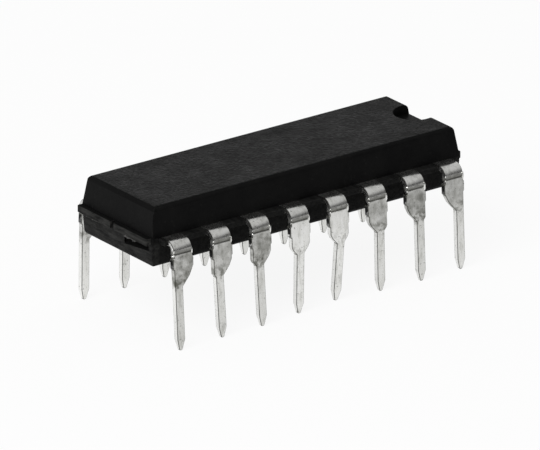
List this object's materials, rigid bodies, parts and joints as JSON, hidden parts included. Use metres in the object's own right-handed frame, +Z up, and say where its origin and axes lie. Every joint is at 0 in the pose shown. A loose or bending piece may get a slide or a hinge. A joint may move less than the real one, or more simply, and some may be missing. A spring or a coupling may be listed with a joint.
{
  "type": "dip integrated circuit chip",
  "caption": "Dual in-line integrated circuit package: drafted moulded body with an index notch, two rows of formed leads, and leadframe, die and bond wires inside.",
  "frame": {"origin": "middle of the package in plan, on the plane that touches the lead tips", "axes": "+X along the package towards its index notch, +Y towards the row of leads 1 to 8, +Z up out of the top face"},
  "size_m": [0.02, 0.0088, 0.0073],
  "materials": {
    "moulding_resin": "matte black moulded epoxy, finely textured",
    "tinned_lead": "dull tin plate on copper alloy strip, satin",
    "leadframe_copper": "bare copper alloy strip, satin",
    "die_adhesive": "silver-filled adhesive, matte",
    "silicon": "polished silicon",
    "gold_wire": "bright gold wire"
  },
  "bodies": {
    "root": {"body": "moulding_resin", "die_paddle": "leadframe_copper", "die_attach": "die_adhesive", "die": "silicon", "lead_01": "tinned_lead", "lead_02": "tinned_lead", "lead_03": "tinned_lead", "lead_04": "tinned_lead", "lead_05": "tinned_lead", "lead_06": "tinned_lead", "lead_07": "tinned_lead", "lead_08": "tinned_lead", "lead_09": "tinned_lead", "lead_10": "tinned_lead", "lead_11": "tinned_lead", "lead_12": "tinned_lead", "lead_13": "tinned_lead", "lead_14": "tinned_lead", "lead_15": "tinned_lead", "lead_16": "tinned_lead", "bond_wire_01": "gold_wire", "bond_wire_02": "gold_wire", "bond_wire_03": "gold_wire", "bond_wire_04": "gold_wire", "bond_wire_05": "gold_wire", "bond_wire_06": "gold_wire", "bond_wire_07": "gold_wire", "bond_wire_08": "gold_wire", "bond_wire_09": "gold_wire", "bond_wire_10": "gold_wire", "bond_wire_11": "gold_wire", "bond_wire_12": "gold_wire", "bond_wire_13": "gold_wire", "bond_wire_14": "gold_wire", "bond_wire_15": "gold_wire", "bond_wire_16": "gold_wire"}
  },
  "joints": []
}
